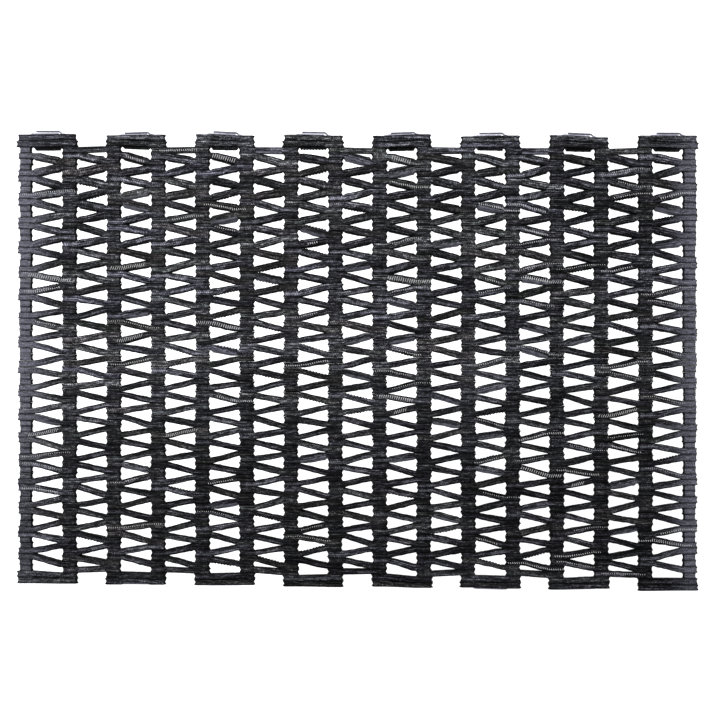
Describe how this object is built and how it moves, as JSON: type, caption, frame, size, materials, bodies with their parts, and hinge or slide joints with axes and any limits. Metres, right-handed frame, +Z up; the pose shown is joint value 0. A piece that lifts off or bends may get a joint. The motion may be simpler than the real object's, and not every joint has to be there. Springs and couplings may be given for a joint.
{
  "type": "door mat",
  "caption": "Low open scraper mat of slanted rubber links threaded on parallel wire loops, with straight links at both ends; it rolls up about its wires.",
  "frame": {"origin": "middle of the mat's outline, on the floor that it lies on", "axes": "+X along the long side, across the wires; +Y along the wires, towards the ends where each loop's wire is lapped; +Z up"},
  "size_m": [0.914, 0.6168, 0.0095],
  "materials": {
    "loop_link_rubber": "matt cut rubber with cloth plies and dust",
    "bridge_link_rubber": "matt cut rubber with cloth plies and dust",
    "end_link_rubber": "matt cut rubber",
    "galvanised_wire": "bright zinc coat, slightly dull"
  },
  "bodies": {
    "loop_bay_1": {"loop_links_1": "loop_link_rubber", "wire_loop_1": "galvanised_wire", "back_inner_end_link_1": "end_link_rubber", "back_outer_end_link_1": "end_link_rubber", "front_inner_end_link_1": "end_link_rubber", "front_outer_end_link_1": "end_link_rubber"},
    "bridge_bay_1": {"bridge_links_1": "bridge_link_rubber"},
    "loop_bay_2": {"loop_links_2": "loop_link_rubber", "wire_loop_2": "galvanised_wire", "back_inner_end_link_2": "end_link_rubber", "back_outer_end_link_2": "end_link_rubber", "front_inner_end_link_2": "end_link_rubber", "front_outer_end_link_2": "end_link_rubber"},
    "bridge_bay_2": {"bridge_links_2": "bridge_link_rubber"},
    "loop_bay_3": {"loop_links_3": "loop_link_rubber", "wire_loop_3": "galvanised_wire", "back_inner_end_link_3": "end_link_rubber", "back_outer_end_link_3": "end_link_rubber", "front_inner_end_link_3": "end_link_rubber", "front_outer_end_link_3": "end_link_rubber"},
    "bridge_bay_3": {"bridge_links_3": "bridge_link_rubber"},
    "loop_bay_4": {"loop_links_4": "loop_link_rubber", "wire_loop_4": "galvanised_wire", "back_inner_end_link_4": "end_link_rubber", "back_outer_end_link_4": "end_link_rubber", "front_inner_end_link_4": "end_link_rubber", "front_outer_end_link_4": "end_link_rubber"},
    "bridge_bay_4": {"bridge_links_4": "bridge_link_rubber"},
    "loop_bay_5": {"loop_links_5": "loop_link_rubber", "wire_loop_5": "galvanised_wire", "back_inner_end_link_5": "end_link_rubber", "back_outer_end_link_5": "end_link_rubber", "front_inner_end_link_5": "end_link_rubber", "front_outer_end_link_5": "end_link_rubber"},
    "bridge_bay_5": {"bridge_links_5": "bridge_link_rubber"},
    "loop_bay_6": {"loop_links_6": "loop_link_rubber", "wire_loop_6": "galvanised_wire", "back_inner_end_link_6": "end_link_rubber", "back_outer_end_link_6": "end_link_rubber", "front_inner_end_link_6": "end_link_rubber", "front_outer_end_link_6": "end_link_rubber"},
    "bridge_bay_6": {"bridge_links_6": "bridge_link_rubber"},
    "loop_bay_7": {"loop_links_7": "loop_link_rubber", "wire_loop_7": "galvanised_wire", "back_inner_end_link_7": "end_link_rubber", "back_outer_end_link_7": "end_link_rubber", "front_inner_end_link_7": "end_link_rubber", "front_outer_end_link_7": "end_link_rubber"},
    "bridge_bay_7": {"bridge_links_7": "bridge_link_rubber"},
    "loop_bay_8": {"loop_links_8": "loop_link_rubber", "wire_loop_8": "galvanised_wire", "back_inner_end_link_8": "end_link_rubber", "back_outer_end_link_8": "end_link_rubber", "front_inner_end_link_8": "end_link_rubber", "front_outer_end_link_8": "end_link_rubber"}
  },
  "joints": [
    {"name": "wire_02_hinge", "type": "hinge", "parent": "loop_bay_1", "child": "bridge_bay_1", "pos_m": [-0.38838, 0, 0.00475], "axis": [0, 1, 0], "range_deg": [-37, 37]},
    {"name": "wire_03_hinge", "type": "hinge", "parent": "bridge_bay_1", "child": "loop_bay_2", "pos_m": [-0.32863, 0, 0.00475], "axis": [0, 1, 0], "range_deg": [-38, 38]},
    {"name": "wire_04_hinge", "type": "hinge", "parent": "loop_bay_2", "child": "bridge_bay_2", "pos_m": [-0.26887, 0, 0.00475], "axis": [0, 1, 0], "range_deg": [-39, 39]},
    {"name": "wire_05_hinge", "type": "hinge", "parent": "bridge_bay_2", "child": "loop_bay_3", "pos_m": [-0.20913, 0, 0.00475], "axis": [0, 1, 0], "range_deg": [-41, 41]},
    {"name": "wire_06_hinge", "type": "hinge", "parent": "loop_bay_3", "child": "bridge_bay_3", "pos_m": [-0.14938, 0, 0.00475], "axis": [0, 1, 0], "range_deg": [-42, 42]},
    {"name": "wire_07_hinge", "type": "hinge", "parent": "bridge_bay_3", "child": "loop_bay_4", "pos_m": [-0.08962, 0, 0.00475], "axis": [0, 1, 0], "range_deg": [-44, 44]},
    {"name": "wire_08_hinge", "type": "hinge", "parent": "loop_bay_4", "child": "bridge_bay_4", "pos_m": [-0.02987, 0, 0.00475], "axis": [0, 1, 0], "range_deg": [-46, 46]},
    {"name": "wire_09_hinge", "type": "hinge", "parent": "bridge_bay_4", "child": "loop_bay_5", "pos_m": [0.02987, 0, 0.00475], "axis": [0, 1, 0], "range_deg": [-49, 49]},
    {"name": "wire_10_hinge", "type": "hinge", "parent": "loop_bay_5", "child": "bridge_bay_5", "pos_m": [0.08962, 0, 0.00475], "axis": [0, 1, 0], "range_deg": [-52, 52]},
    {"name": "wire_11_hinge", "type": "hinge", "parent": "bridge_bay_5", "child": "loop_bay_6", "pos_m": [0.14938, 0, 0.00475], "axis": [0, 1, 0], "range_deg": [-55, 55]},
    {"name": "wire_12_hinge", "type": "hinge", "parent": "loop_bay_6", "child": "bridge_bay_6", "pos_m": [0.20913, 0, 0.00475], "axis": [0, 1, 0], "range_deg": [-59, 59]},
    {"name": "wire_13_hinge", "type": "hinge", "parent": "bridge_bay_6", "child": "loop_bay_7", "pos_m": [0.26887, 0, 0.00475], "axis": [0, 1, 0], "range_deg": [-65, 65]},
    {"name": "wire_14_hinge", "type": "hinge", "parent": "loop_bay_7", "child": "bridge_bay_7", "pos_m": [0.32863, 0, 0.00475], "axis": [0, 1, 0], "range_deg": [-72, 72]},
    {"name": "wire_15_hinge", "type": "hinge", "parent": "bridge_bay_7", "child": "loop_bay_8", "pos_m": [0.38838, 0, 0.00475], "axis": [0, 1, 0], "range_deg": [-83, 83]}
  ]
}
